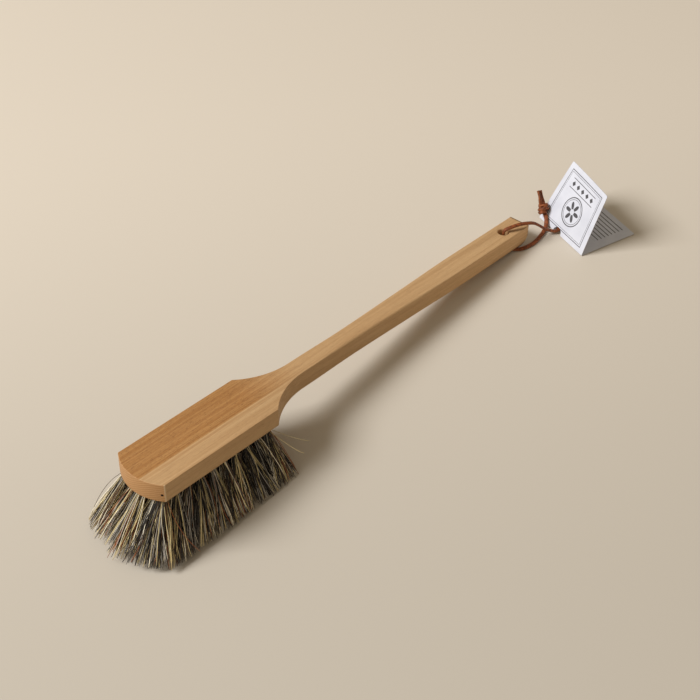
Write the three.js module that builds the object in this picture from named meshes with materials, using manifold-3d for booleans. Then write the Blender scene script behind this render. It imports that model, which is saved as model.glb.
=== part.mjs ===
// A long-handled boot brush: a one-piece beech head and handle, a field of stiff natural
// fibre held by a wire anchor in each drilled hole, a leather hanging thong with its knot,
// and a folded card tag on the thong. It rests on its rear fibre tips and, near the end of the
// handle, on the thong that passes under it.
//
// Board frame, used for the wood and the fibre: x runs from the front of the head to the
// handle end, y to the left of the handle, z up, with z = 0 on the flat top of the wood.
// Table frame, used for the thong and the tag: the same directions with z = 0 on the table.
// All sizes are in millimetres.

import * as THREE from 'three';
import { mergeVertices } from 'three/addons/utils/BufferGeometryUtils.js';
import Module from 'manifold-3d';

const wasm = await Module();
wasm.setup();

// Wooden body
const THICKNESS = 16;
const HEAD_WIDTH = 50.4;
const HEAD_LENGTH = 112.5;
const FRONT_BOW = 8.6;
const COVE_END = 156;
const NECK_HALF = 8.2;
const SWELL_AT = 360;
const SWELL_HALF = 10.6;
const END_AT = 441.4;
const END_HALF = 10.5;
const END_CORNER = 0.9;
const END_BOW = 0.3;
const END_EASE = 10;
const END_EASE_RISE = 9;
const END_LIFT = 2.4;
const CURVE_STEPS = 10;

// Rounded grip edges, run out at both ends as a router leaves them
const GRIP_ROUND = 2.4;
const GRIP_FROM = 0.04;
const GRIP_TO = 0.98;
const GRIP_FADE_IN = 0.22;
const GRIP_FADE_OUT = 0.3;
const GRIP_LIFT = 0.36 * GRIP_ROUND;
const GRIP_STATIONS = 12;
const NECK_PULL = 0.46;
const SWELL_PULL = 0.48;

// Hanging hole
const HOLE_TO_END = 23.4;
const HOLE_RADIUS = 4.8;
const HOLE_EASE = 1.6;

// Pin hole in the front face
const PIN_HOLE_RADIUS = 0.7;
const PIN_HOLE_DEPTH = 5;
const PIN_FROM_SIDE = 1.9;
const PIN_HEIGHT = 6.5;

// Fibre field
const FIELD_MARGIN = 6.2;
const ROWS = 5;
const COLUMN_PITCH = 5.6;
const COLUMNS = 19;
const FIRST_COLUMN = 3;
const TUFT_RADIUS = 1.75;
const STRANDS_PER_TUFT = 8;
const STRAND_ROOT = 0.46;
const STRAND_TIP = 0.34;
const REAR_DROP = 36.2;
const FRONT_DROP = 48.6;
const FRONT_REACH = 38;
const REAR_REACH = 20;
const SIDE_REACH = 26;
const CORNER_PULL = 11;
const TIP_TRIM = 0.5;
const COLUMNS_PER_BED = 5;
const BED_THICKNESS = 3;
const BED_OVERHANG = 3.1;
const BED_GAP = 0.3;
const ROOT_DEPTH = 0.8;

// Wire anchors in the drilled holes
const DRILL_RADIUS = 2.7;
const DRILL_DEPTH = 6;
const ANCHOR_WIDTH = 3.6;
const ANCHOR_HEIGHT = 3.8;
const ANCHOR_WIRE = 0.9;

// Leather thong
const LACE = 2.6;
const LACE_SIDES = 8;
const LACE_LIFT = 0.2;
const LACE_GAP = 0.3;
const KNOT_RADIUS = 4.8;
const TAIL_LENGTH = 17;
const TAIL_ROOT = 1;
const TAIL_BEND = 0.6;

// Card tag
const TAG_SPINE = 65.9;
const TAG_FRONT_WIDTH = 60;
const TAG_BACK_WIDTH = 57;
const TAG_CARD = 0.5;
const TAG_CREASE = 0.9;
const TAG_LIFT = 0.3;
const TAG_OPENING = THREE.MathUtils.degToRad(66.5);
const TAG_TWIST = THREE.MathUtils.degToRad(-12.3);
const TAG_TURN = THREE.MathUtils.degToRad(70.8);
const TAG_NOTCH_AT = 38.5;
const TAG_NOTCH_RADIUS = 5.5;
const TAG_CORNER = 1.2;
const TAG_STATIONS = 8;

const HALF_HEAD = HEAD_WIDTH / 2;
const HALF_FIELD = HALF_HEAD - FIELD_MARGIN;
const ROW_PITCH = (2 * HALF_FIELD) / (ROWS - 1);
const HOLE_AT = END_AT - HOLE_TO_END;
const FIELD_REAR = FIRST_COLUMN + (COLUMNS - 1) * COLUMN_PITCH;
const REAR_TIPS_AT = FIELD_REAR + REAR_REACH;
const FRONT_TIPS_AT = FIRST_COLUMN - FRONT_REACH;
const CONTACT_AT = END_AT - END_EASE;

// The wood leans with its rear fibre tips on the table and its handle end lifted by the thong.
const FOOTING = Math.hypot(REAR_DROP, CONTACT_AT - REAR_TIPS_AT);
const PITCH = Math.atan2(REAR_DROP, CONTACT_AT - REAR_TIPS_AT) - Math.asin(END_LIFT / FOOTING);
const TOP_HEIGHT = CONTACT_AT * Math.sin(PITCH) + THICKNESS * Math.cos(PITCH) + END_LIFT;

const paint = (color, roughness) => new THREE.MeshStandardMaterial({ color, roughness, metalness: 0 });
const BEECH = 0xd3a46a;
const FIBRE = 0x6b5b45;
const LEATHER = 0x5a2f1e;
const CARD = 0xe9e6df;
const WIRE = 0xa8a9a6;

// Solids from closed geometries, and geometries from solids
function solidOf(geometry) {
  const bare = geometry.clone();
  for (const name of Object.keys(bare.attributes)) {
    if (name !== 'position') bare.deleteAttribute(name);
  }
  const merged = mergeVertices(bare, 1e-4);
  return new wasm.Manifold(new wasm.Mesh({
    numProp: 3,
    vertProperties: new Float32Array(merged.attributes.position.array),
    triVerts: new Uint32Array(merged.index.array),
  }));
}

function geometryOf(solid) {
  const mesh = solid.getMesh();
  const geometry = new THREE.BufferGeometry();
  geometry.setAttribute('position', new THREE.BufferAttribute(new Float32Array(mesh.vertProperties), 3));
  geometry.setIndex(new THREE.BufferAttribute(new Uint32Array(mesh.triVerts), 1));
  geometry.computeVertexNormals();
  return geometry;
}

function named(name, geometry, color, roughness) {
  const mesh = new THREE.Mesh(geometry, paint(color, roughness));
  mesh.name = name;
  return mesh;
}

// A closed skin over rings of points that share one section, with flat ends. The second half of the
// section is split along the other diagonal, so that a thin twisted sheet keeps its thickness.
function loft(rings, section) {
  const count = section.length;
  const positions = rings.flat().flatMap((point) => point.toArray());
  const index = [];
  for (let ring = 0; ring + 1 < rings.length; ring += 1) {
    for (let i = 0; i < count; i += 1) {
      const next = (i + 1) % count;
      const a = ring * count + i;
      const b = ring * count + next;
      if (2 * i < count) index.push(a, b, b + count, a, b + count, a + count);
      else index.push(a, b, a + count, b, b + count, a + count);
    }
  }
  const last = (rings.length - 1) * count;
  for (const [a, b, c] of THREE.ShapeUtils.triangulateShape(section, [])) {
    index.push(c, b, a, last + a, last + b, last + c);
  }
  const geometry = new THREE.BufferGeometry();
  geometry.setAttribute('position', new THREE.Float32BufferAttribute(positions, 3));
  geometry.setIndex(index);
  return geometry;
}

// Outline of the wood seen from above
const bowRadius = (HALF_HEAD ** 2 + FRONT_BOW ** 2) / (2 * FRONT_BOW);
const bowAngle = Math.asin(HALF_HEAD / bowRadius);
const coveRise = HALF_HEAD - NECK_HALF;
const coveRadius = ((COVE_END - HEAD_LENGTH) ** 2 + coveRise ** 2) / (2 * coveRise);
const coveAngle = Math.asin((COVE_END - HEAD_LENGTH) / coveRadius);
const reach = SWELL_AT - COVE_END;
const gripEdge = new THREE.CubicBezierCurve(
  new THREE.Vector2(COVE_END, NECK_HALF),
  new THREE.Vector2(COVE_END + NECK_PULL * reach, NECK_HALF),
  new THREE.Vector2(SWELL_AT - SWELL_PULL * reach, SWELL_HALF),
  new THREE.Vector2(SWELL_AT, SWELL_HALF),
);

function woodOutline() {
  const shape = new THREE.Shape();
  const coveCentre = NECK_HALF + coveRadius;
  const edge = END_AT - END_BOW;
  shape.moveTo(0, HALF_HEAD);
  shape.absarc(bowRadius - FRONT_BOW, 0, bowRadius, Math.PI - bowAngle, Math.PI + bowAngle, false);
  shape.lineTo(HEAD_LENGTH, -HALF_HEAD);
  shape.absarc(COVE_END, -coveCentre, coveRadius, Math.PI / 2 + coveAngle, Math.PI / 2, true);
  shape.bezierCurveTo(gripEdge.v1.x, -NECK_HALF, gripEdge.v2.x, -SWELL_HALF, SWELL_AT, -SWELL_HALF);
  shape.lineTo(edge - END_CORNER, -END_HALF);
  shape.quadraticCurveTo(edge, -END_HALF, edge, END_CORNER - END_HALF);
  shape.quadraticCurveTo(END_AT + END_BOW, 0, edge, END_HALF - END_CORNER);
  shape.quadraticCurveTo(edge, END_HALF, edge - END_CORNER, END_HALF);
  shape.lineTo(SWELL_AT, SWELL_HALF);
  shape.bezierCurveTo(gripEdge.v2.x, SWELL_HALF, gripEdge.v1.x, NECK_HALF, COVE_END, NECK_HALF);
  shape.absarc(COVE_END, coveCentre, coveRadius, -Math.PI / 2, -Math.PI / 2 - coveAngle, true);
  shape.lineTo(0, HALF_HEAD);
  return shape;
}

// One rounded edge of the grip: side is -1 or 1, face is 1 for the top and -1 for the underside
function gripCutter(side, face) {
  const section = [];
  for (let i = 0; i <= 3; i += 1) {
    const angle = (Math.PI / 2) * (1 - i / 3);
    section.push(new THREE.Vector2(GRIP_ROUND * (Math.cos(angle) - 1), GRIP_ROUND * (Math.sin(angle) - 1)));
  }
  section.push(new THREE.Vector2(GRIP_ROUND, -GRIP_ROUND));
  section.push(new THREE.Vector2(GRIP_ROUND, GRIP_ROUND));
  section.push(new THREE.Vector2(-GRIP_ROUND, GRIP_ROUND));
  const ordered = side * face < 0 ? section.reverse() : section;
  const rings = [];
  for (let i = 0; i <= GRIP_STATIONS; i += 1) {
    const share = i / GRIP_STATIONS;
    const edge = gripEdge.getPoint(GRIP_FROM + (GRIP_TO - GRIP_FROM) * share);
    const fade = Math.min(1, share / GRIP_FADE_IN, (1 - share) / GRIP_FADE_OUT);
    const lift = GRIP_LIFT * (1 - THREE.MathUtils.smoothstep(fade, 0, 1));
    const base = face > 0 ? 0 : -THICKNESS;
    rings.push(ordered.map((p) => new THREE.Vector3(
      edge.x,
      side * (edge.y + p.x + lift),
      base + face * (p.y + lift),
    )));
  }
  const flat = ordered.map((p) => new THREE.Vector2(side * p.x, face * p.y));
  return loft(rings, flat);
}

// The well rounded lower edge of the handle end
function endEaseCutter() {
  const shape = new THREE.Shape();
  shape.moveTo(-END_EASE, 0);
  shape.absellipse(-END_EASE, END_EASE_RISE, END_EASE, END_EASE_RISE, -Math.PI / 2, 0, false);
  shape.lineTo(END_EASE, END_EASE_RISE);
  shape.lineTo(END_EASE, -END_EASE);
  shape.lineTo(-END_EASE, -END_EASE);
  const width = 4 * END_HALF;
  const cutter = new THREE.ExtrudeGeometry(shape, { depth: width, bevelEnabled: false, curveSegments: 3 });
  cutter.rotateX(Math.PI / 2);
  cutter.translate(END_AT, width / 2, -THICKNESS);
  return cutter;
}

// The hanging hole with both rims eased
function holeCutter() {
  const past = 1;
  const wide = HOLE_RADIUS + HOLE_EASE;
  const profile = [new THREE.Vector2(0, -THICKNESS - past), new THREE.Vector2(wide, -THICKNESS - past)];
  for (let i = 0; i <= 3; i += 1) {
    const angle = (Math.PI / 2) * (i / 3);
    profile.push(new THREE.Vector2(wide - HOLE_EASE * Math.sin(angle),
      -THICKNESS + HOLE_EASE * (1 - Math.cos(angle))));
  }
  for (let i = 3; i >= 0; i -= 1) {
    const angle = (Math.PI / 2) * (i / 3);
    profile.push(new THREE.Vector2(wide - HOLE_EASE * Math.sin(angle), -HOLE_EASE * (1 - Math.cos(angle))));
  }
  profile.push(new THREE.Vector2(wide, past), new THREE.Vector2(0, past));
  const cutter = new THREE.LatheGeometry(profile, 20);
  cutter.rotateX(Math.PI / 2);
  cutter.translate(HOLE_AT, 0, 0);
  return cutter;
}

// Tuft places in staggered rows
const tufts = [];
for (let column = 0; column < COLUMNS; column += 1) {
  for (let row = column % 2; row < ROWS; row += 2) {
    tufts.push({
      column,
      x: FIRST_COLUMN + column * COLUMN_PITCH,
      y: row * ROW_PITCH - HALF_FIELD,
    });
  }
}
const beds = Math.ceil(COLUMNS / COLUMNS_PER_BED);
const bedStart = (bed) => (bed === 0
  ? FIRST_COLUMN - BED_OVERHANG
  : FIRST_COLUMN + (bed * COLUMNS_PER_BED - 0.5) * COLUMN_PITCH);
const bedEnd = (bed) => (bed === beds - 1 ? FIELD_REAR + BED_OVERHANG : bedStart(bed + 1));
const bedHalf = HALF_FIELD + BED_OVERHANG;

function brushBody() {
  const board = new THREE.ExtrudeGeometry(woodOutline(), {
    depth: THICKNESS, bevelEnabled: false, curveSegments: CURVE_STEPS,
  });
  board.translate(0, 0, -THICKNESS);
  let wood = solidOf(board);
  for (const side of [-1, 1]) {
    for (const face of [-1, 1]) wood = wood.subtract(solidOf(gripCutter(side, face)));
  }
  wood = wood.subtract(solidOf(endEaseCutter())).subtract(solidOf(holeCutter()));

  // A recess for the fibre beds, with a drilled hole above each tuft for its anchor
  const recessLength = bedEnd(beds - 1) - bedStart(0) + 2 * BED_GAP;
  const recessDepth = BED_THICKNESS + BED_GAP;
  const recess = new THREE.BoxGeometry(recessLength, 2 * (bedHalf + BED_GAP), 2 * recessDepth);
  recess.translate(bedStart(0) - BED_GAP + recessLength / 2, 0, -THICKNESS);
  wood = wood.subtract(solidOf(recess));
  for (const tuft of tufts) {
    const drill = new THREE.CylinderGeometry(DRILL_RADIUS, DRILL_RADIUS, DRILL_DEPTH + 1, 8);
    drill.rotateX(Math.PI / 2);
    drill.translate(tuft.x, tuft.y, recessDepth - THICKNESS + (DRILL_DEPTH - 1) / 2);
    wood = wood.subtract(solidOf(drill));
  }

  const pinY = PIN_FROM_SIDE - HALF_HEAD;
  const pinX = bowRadius - FRONT_BOW - Math.sqrt(bowRadius ** 2 - pinY ** 2);
  const pin = new THREE.CylinderGeometry(PIN_HOLE_RADIUS, PIN_HOLE_RADIUS, 2 * PIN_HOLE_DEPTH, 8);
  pin.rotateZ(Math.PI / 2);
  pin.translate(pinX, pinY, PIN_HEIGHT - THICKNESS);
  return geometryOf(wood.subtract(solidOf(pin)));
}

// Where a fibre that leaves the wood at x, y ends: the field fans out without crossing itself
function tipOf(x, y) {
  const along = (x - FIRST_COLUMN) / (FIELD_REAR - FIRST_COLUMN);
  const across = y / HALF_FIELD;
  const tipX = FRONT_TIPS_AT + along * (REAR_TIPS_AT - FRONT_TIPS_AT)
    + CORNER_PULL * across ** 2 * (1 - 2 * along);
  const tipY = y + across * SIDE_REACH;
  const level = (tipX - FRONT_TIPS_AT) / (REAR_TIPS_AT - FRONT_TIPS_AT);
  const drop = THREE.MathUtils.lerp(FRONT_DROP, REAR_DROP + TIP_TRIM, level);
  return new THREE.Vector3(tipX, tipY, -THICKNESS - drop);
}

function strand(x, y) {
  const root = new THREE.Vector3(x, y, -THICKNESS + ROOT_DEPTH);
  const tip = tipOf(x, y);
  const line = tip.clone().sub(root);
  const rod = new THREE.CylinderGeometry(STRAND_TIP, STRAND_ROOT, line.length(), 3, 1);
  rod.translate(0, line.length() / 2, 0);
  rod.applyQuaternion(new THREE.Quaternion().setFromUnitVectors(
    new THREE.Vector3(0, 1, 0), line.clone().normalize()));
  rod.translate(root.x, root.y, root.z);
  return rod;
}

// The table, in the board frame, trims the tips that would reach below it
function tableCutter() {
  const size = 3 * END_AT;
  const slab = new THREE.BoxGeometry(size, size, 20);
  slab.translate(0, 0, -10);
  slab.applyMatrix4(boardToTable.clone().invert());
  return slab;
}

const boardToTable = new THREE.Matrix4()
  .makeRotationY(PITCH)
  .premultiply(new THREE.Matrix4().makeTranslation(0, 0, TOP_HEIGHT));

function fibreBed(bed) {
  const length = bedEnd(bed) - bedStart(bed) - BED_GAP;
  const slice = new THREE.BoxGeometry(length, 2 * bedHalf, BED_THICKNESS);
  slice.translate(bedStart(bed) + BED_GAP / 2 + length / 2, 0, BED_THICKNESS / 2 - THICKNESS);
  let field = solidOf(slice);
  for (const tuft of tufts) {
    if (Math.floor(tuft.column / COLUMNS_PER_BED) !== bed) continue;
    for (let i = 0; i < STRANDS_PER_TUFT; i += 1) {
      const radius = i === 0 ? 0 : TUFT_RADIUS;
      const angle = (2 * Math.PI * i) / (STRANDS_PER_TUFT - 1) + tuft.column;
      const rod = strand(tuft.x + radius * Math.cos(angle), tuft.y + radius * Math.sin(angle));
      field = field.add(solidOf(rod));
    }
  }
  return geometryOf(field.subtract(solidOf(tableCutter())));
}

// A bent wire that pins a folded tuft in its hole
function anchorGeometry() {
  const half = ANCHOR_WIDTH / 2;
  const shape = new THREE.Shape([
    new THREE.Vector2(-half, 0),
    new THREE.Vector2(half, 0),
    new THREE.Vector2(half, ANCHOR_HEIGHT),
    new THREE.Vector2(half - ANCHOR_WIRE, ANCHOR_HEIGHT),
    new THREE.Vector2(half - ANCHOR_WIRE, ANCHOR_WIRE),
    new THREE.Vector2(ANCHOR_WIRE - half, ANCHOR_WIRE),
    new THREE.Vector2(ANCHOR_WIRE - half, ANCHOR_HEIGHT),
    new THREE.Vector2(-half, ANCHOR_HEIGHT),
  ]);
  const wire = new THREE.ExtrudeGeometry(shape, { depth: ANCHOR_WIRE, bevelEnabled: false });
  wire.translate(0, 0, -ANCHOR_WIRE / 2);
  wire.rotateX(Math.PI / 2);
  return wire;
}

// Wood, fibre and anchors lean together
const leaning = new THREE.Group();
leaning.rotation.y = PITCH;
leaning.position.z = TOP_HEIGHT;
leaning.add(named('brush_body', brushBody(), BEECH, 0.6));
const bedNames = ['bristles_front', 'bristles_mid_front', 'bristles_mid_rear', 'bristles_rear'];
bedNames.forEach((name, bed) => leaning.add(named(name, fibreBed(bed), FIBRE, 0.8)));
tufts.forEach((tuft, i) => {
  const anchor = named(`tuft_anchor_${String(i + 1).padStart(2, '0')}`, anchorGeometry(), WIRE, 0.4);
  anchor.position.set(tuft.x, tuft.y, -THICKNESS + BED_THICKNESS + 2 * BED_GAP);
  leaning.add(anchor);
});

// The thong: both strands leave the hanging hole and meet in the knot
const onTable = (x, y, z) => new THREE.Vector3(x, y, z).applyMatrix4(boardToTable);
const holeMiddle = onTable(HOLE_AT, 0, -THICKNESS / 2);
const endPoint = onTable(END_AT, 0, 0);
const fromEnd = (x, y, z) => new THREE.Vector3(endPoint.x + x, y, z);
const laceLow = LACE / 2 + LACE_LIFT;
const holeUp = new THREE.Vector3(0, 0, 1).transformDirection(boardToTable);

const spineFoot = fromEnd(11.1, -60, TAG_LIFT + TAG_CARD / 2);
const spineWay = new THREE.Vector3(Math.cos(TAG_TURN), Math.sin(TAG_TURN), 0);
const leafWay = new THREE.Vector3(Math.sin(TAG_TURN), -Math.cos(TAG_TURN), 0);
const byTag = (along, out, z) => {
  const point = spineFoot.clone().addScaledVector(spineWay, along).addScaledVector(leafWay, out);
  return point.setZ(z);
};
const foldLow = TAG_LIFT + TAG_CARD + LACE_GAP + LACE / 2;

// The knot leans on the front leaf of the tag
const knotAt = fromEnd(32.6, -1.8, 12.1);
const towardsKnot = (from) => from.clone().sub(knotAt).setLength(KNOT_RADIUS + LACE_GAP).add(knotAt);

const upperNear = byTag(TAG_SPINE + 4.8, 2.8, 9.8);
const upperRoute = [
  holeMiddle.clone().addScaledVector(holeUp, LACE_GAP / 2),
  holeMiddle.clone().addScaledVector(holeUp, 5),
  onTable(HOLE_AT + 0.3, -0.4, 1.2),
  onTable(HOLE_AT + 3, -3.2, 3.6),
  onTable(HOLE_AT + 13.3, -7.5, 4.9),
  onTable(END_AT - 2.2, -11.7, 4.3),
  onTable(END_AT + 3.2, -13.1, 2.3),
  fromEnd(8, -14.2, 15),
  fromEnd(12.6, -15.4, 10.2),
  fromEnd(16, -16.4, 6.5),
  byTag(TAG_NOTCH_AT + 2.9, -5.3, foldLow + 1.4),
  byTag(TAG_NOTCH_AT, 0, foldLow + 0.4),
  byTag(TAG_NOTCH_AT + 2.5, 5, foldLow + 0.3),
  byTag(TAG_NOTCH_AT + 9, 8.2, foldLow + 0.3),
  byTag(TAG_SPINE - 8.5, 9, foldLow + 0.3),
  byTag(TAG_SPINE - 0.5, 9, foldLow + 0.4),
  byTag(TAG_SPINE + 3.7, 7.9, foldLow + 1.6),
  byTag(TAG_SPINE + 5.9, 5.4, foldLow + 4.5),
  upperNear,
  towardsKnot(upperNear),
];

const lowerNear = fromEnd(29.2, -8, 5.8);
const underside = (x, y, z) => onTable(x, y, -THICKNESS).setZ(z);
const lowerRoute = [
  holeMiddle.clone().addScaledVector(holeUp, -LACE_GAP / 2),
  holeMiddle.clone().addScaledVector(holeUp, -3.6),
  onTable(HOLE_AT + 0.5, -0.5, -THICKNESS + 2),
  onTable(HOLE_AT + 2.1, -2.5, -THICKNESS - 0.5),
  underside(HOLE_AT + 4.6, -6.2, laceLow + 0.1),
  underside(HOLE_AT + 7.2, -10, laceLow),
  fromEnd(-15.6, -12.9, laceLow),
  fromEnd(-9, -15.5, laceLow),
  fromEnd(-1.5, -17, laceLow),
  fromEnd(8.2, -16.1, laceLow),
  fromEnd(17.1, -14.1, laceLow),
  fromEnd(23, -12.1, laceLow + 0.4),
  fromEnd(26.5, -10, laceLow + 2),
  lowerNear,
  towardsKnot(lowerNear),
];

const laceSection = new THREE.Shape(Array.from({ length: LACE_SIDES }, (_, i) => {
  const angle = (2 * Math.PI * (i + 0.5)) / LACE_SIDES;
  return new THREE.Vector2(Math.cos(angle), Math.sin(angle)).multiplyScalar(LACE / 2);
}));

function lace(points, steps) {
  const route = new THREE.CatmullRomCurve3(points, false, 'centripetal');
  return new THREE.ExtrudeGeometry(laceSection, { steps, extrudePath: route, bevelEnabled: false });
}

// The knot is a rounded lump with two free tails
function knotGeometry() {
  const lump = new THREE.SphereGeometry(KNOT_RADIUS, 14, 10);
  lump.translate(knotAt.x, knotAt.y, knotAt.z);
  let knot = solidOf(lump);
  for (const way of [new THREE.Vector3(0.26, 0.58, 0.77), new THREE.Vector3(0.55, 0.62, 0.56)]) {
    const out = way.clone().normalize();
    const tail = lace([
      knotAt.clone().addScaledVector(out, TAIL_ROOT),
      knotAt.clone().addScaledVector(out, TAIL_LENGTH * 0.6).add(new THREE.Vector3(0, 0, TAIL_BEND)),
      knotAt.clone().addScaledVector(out, TAIL_LENGTH),
    ], 4);
    knot = knot.add(solidOf(tail));
  }
  return geometryOf(knot);
}

// One leaf of the folded tag, with half of the notch that the thong passes through. It rises from
// the fold by its opening, which changes along the fold by the twist.
function leafGeometry(width, opening, twist) {
  const half = TAG_CARD / 2;
  const section = (far) => [[TAG_CREASE, -half], [TAG_CREASE, half], [far, half], [far, -half]];
  const stations = [0];
  for (let i = 0; i <= TAG_STATIONS; i += 1) {
    stations.push(THREE.MathUtils.lerp(TAG_CORNER, TAG_SPINE - TAG_CORNER, i / TAG_STATIONS));
  }
  stations.push(TAG_SPINE);
  const rings = stations.map((along, i) => {
    const angle = opening + (twist * along) / TAG_SPINE;
    const cut = i === 0 || i === stations.length - 1 ? TAG_CORNER : 0;
    return section(width - cut).map(([out, up]) => new THREE.Vector3(
      along,
      up * Math.sin(angle) - out * Math.cos(angle),
      out * Math.sin(angle) + up * Math.cos(angle),
    ));
  });
  const flat = section(width).map(([out, up]) => new THREE.Vector2(-out, up));
  const notch = new THREE.SphereGeometry(TAG_NOTCH_RADIUS, 20, 12);
  notch.translate(TAG_NOTCH_AT, 0, 0);
  return geometryOf(solidOf(loft(rings, flat)).subtract(solidOf(notch)));
}

const thong = new THREE.Group();
thong.add(named('thong_upper_strand', lace(upperRoute, 44), LEATHER, 0.7));
thong.add(named('thong_lower_strand', lace(lowerRoute, 40), LEATHER, 0.7));
thong.add(named('thong_knot', knotGeometry(), LEATHER, 0.7));

const tag = new THREE.Group();
tag.position.copy(spineFoot);
tag.rotation.z = TAG_TURN;
const backLeaf = named('tag_back_leaf', leafGeometry(TAG_BACK_WIDTH, 0, 0), CARD, 0.9);
const frontGeometry = leafGeometry(TAG_FRONT_WIDTH, TAG_OPENING, TAG_TWIST);
const frontLeaf = named('tag_front_leaf', frontGeometry, CARD, 0.9);
tag.add(backLeaf, frontLeaf);

// The origin is on the table, under the middle of the brush without its thong and tag
const bootBrush = new THREE.Group();
bootBrush.name = 'boot_brush';
leaning.updateMatrixWorld(true);
const middle = new THREE.Box3().setFromObject(leaning, true).getCenter(new THREE.Vector3());
const centred = new THREE.Group();
centred.position.set(-middle.x, -middle.y, 0);
centred.add(leaning, thong, tag);
bootBrush.add(centred);

export default bootBrush;
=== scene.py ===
# %% [markdown]
# # A long-handled boot brush
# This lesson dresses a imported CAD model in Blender. The CAD model gives every piece its size and
# place. Here the pieces get the surfaces that a camera sees: planed and sanded beech, a thick field
# of mixed plant fibre, a leather lace with its knot, and a folded card tag.
# All numbers are in metres, in the frame of the CAD model: +Z is up and z = 0 is the table.

# %% Load the frame
import math

import bmesh
import bpy
import numpy as np
from mathutils import Matrix, Vector


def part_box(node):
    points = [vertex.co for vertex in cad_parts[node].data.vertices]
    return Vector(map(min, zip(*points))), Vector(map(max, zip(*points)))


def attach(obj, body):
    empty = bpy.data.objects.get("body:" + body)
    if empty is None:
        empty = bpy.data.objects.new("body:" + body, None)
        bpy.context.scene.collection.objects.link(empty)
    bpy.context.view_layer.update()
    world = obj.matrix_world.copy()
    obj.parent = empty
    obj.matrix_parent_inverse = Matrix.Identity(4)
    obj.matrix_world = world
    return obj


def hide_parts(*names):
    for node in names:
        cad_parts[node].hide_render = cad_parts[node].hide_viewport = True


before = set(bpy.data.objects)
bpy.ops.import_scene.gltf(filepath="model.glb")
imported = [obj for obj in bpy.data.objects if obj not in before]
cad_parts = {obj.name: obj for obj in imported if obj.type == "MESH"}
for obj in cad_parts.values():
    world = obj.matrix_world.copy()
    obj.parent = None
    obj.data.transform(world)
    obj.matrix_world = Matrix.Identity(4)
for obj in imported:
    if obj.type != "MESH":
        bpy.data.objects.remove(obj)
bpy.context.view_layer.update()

# %% [markdown]
# ## Two frames
# The brush leans: it stands on its rear fibre tips and, near the handle's end, on the lace that passes
# under it. A joiner would measure the wood flat on the bench, so the wood and the fibre are modelled in
# a board frame, with x from the head to the handle end and z = 0 on the flat top. One matrix then leans
# it on the table.

# %% Board frame
THICKNESS = 0.016
END_AT = 0.4414
END_EASE = 0.010
END_EASE_RISE = 0.009
END_LIFT = 0.0024
REAR_DROP = 0.0362
REAR_TIPS_AT = 0.1238
CONTACT_AT = END_AT - END_EASE
FOOTING = math.hypot(REAR_DROP, CONTACT_AT - REAR_TIPS_AT)
PITCH = math.atan2(REAR_DROP, CONTACT_AT - REAR_TIPS_AT) - math.asin(END_LIFT / FOOTING)
TOP_HEIGHT = CONTACT_AT * math.sin(PITCH) + THICKNESS * math.cos(PITCH) + END_LIFT

wood_low, wood_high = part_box("brush_body")
END_X = wood_high.x
MIDDLE_Y = (wood_low.y + wood_high.y) / 2
board_origin = Vector((END_X - END_AT * math.cos(PITCH), MIDDLE_Y, TOP_HEIGHT))
board_to_row = Matrix.Translation(board_origin) @ Matrix.Rotation(PITCH, 4, "Y")


def on_board(x, y, z):
    """A point of the board frame, in the row frame."""
    return board_to_row @ Vector((x, y, z))


print("lean in degrees", round(math.degrees(PITCH), 3), "top height", round(TOP_HEIGHT, 5))

# %% [markdown]
# ## Helpers
# Blender's operators work on what is selected and active. These short functions keep that in one place,
# so the later steps can name what they do.

# %% Helpers


def new_object(name, data):
    """An object with this data, put in the scene."""
    made = bpy.data.objects.new(name, data)
    bpy.context.scene.collection.objects.link(made)
    return made


def added(operator, **settings):
    """The object that one of Blender's add operators makes."""
    bpy.ops.object.select_all(action="DESELECT")
    operator(**settings)
    return bpy.context.view_layer.objects.active


def only(*objects):
    """Selects these objects and nothing else, with the first one active."""
    bpy.ops.object.select_all(action="DESELECT")
    for each in objects:
        each.select_set(True)
    bpy.context.view_layer.objects.active = objects[0]


def as_one(pieces):
    """The pieces joined to one object."""
    only(*pieces)
    bpy.ops.object.join()
    return pieces[0]


def move(piece, matrix):
    """Moves a piece and keeps the move in its points."""
    piece.matrix_world = matrix
    only(piece)
    bpy.ops.object.transform_apply(location=True, rotation=True, scale=True)


def smooth_by_angle(piece, degrees):
    only(piece)
    bpy.ops.object.shade_smooth_by_angle(angle=math.radians(degrees))


def apply_modifier(piece, kind, **settings):
    only(piece)
    modifier = piece.modifiers.new(kind.lower(), kind)
    for name, setting in settings.items():
        setattr(modifier, name, setting)
    bpy.ops.object.modifier_apply(modifier=modifier.name)


def keep_on_points(mesh, name, vectors):
    """Keeps a vector for each point of a mesh, for a finish to read."""
    attribute = mesh.attributes.new(name, "FLOAT_VECTOR", "POINT")
    attribute.data.foreach_set("vector", np.array(vectors, np.float32).ravel())


def mesh_object(name, points, faces, kept, vectors):
    """A mesh object that keeps a vector for each of its points under the name kept."""
    mesh = bpy.data.meshes.new(name)
    mesh.from_pydata(points, [], faces)
    keep_on_points(mesh, kept, vectors)
    return new_object(name, mesh)


def unit(vectors):
    """The vectors at length one."""
    return vectors / np.linalg.norm(vectors, axis=-1, keepdims=True)


def paint(piece, finish):
    piece.data.materials.clear()
    piece.data.materials.append(finish)


print("helpers ready")

# %% [markdown]
# ## The camera
# A camera is easiest to repeat as a place, a point that it aims at, a roll and a lens. The roll is
# the small tilt that a hand-held or tripod camera nearly always has.

# %% Camera
CAMERA_AT = Vector((-0.55682, -0.59526, 0.79226))
CAMERA_AIM = Vector((0.03563, 0.01797, 0.0))
CAMERA_ROLL = math.radians(-4.987)
LENS_MM = 72
SENSOR_MM = 36

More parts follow.
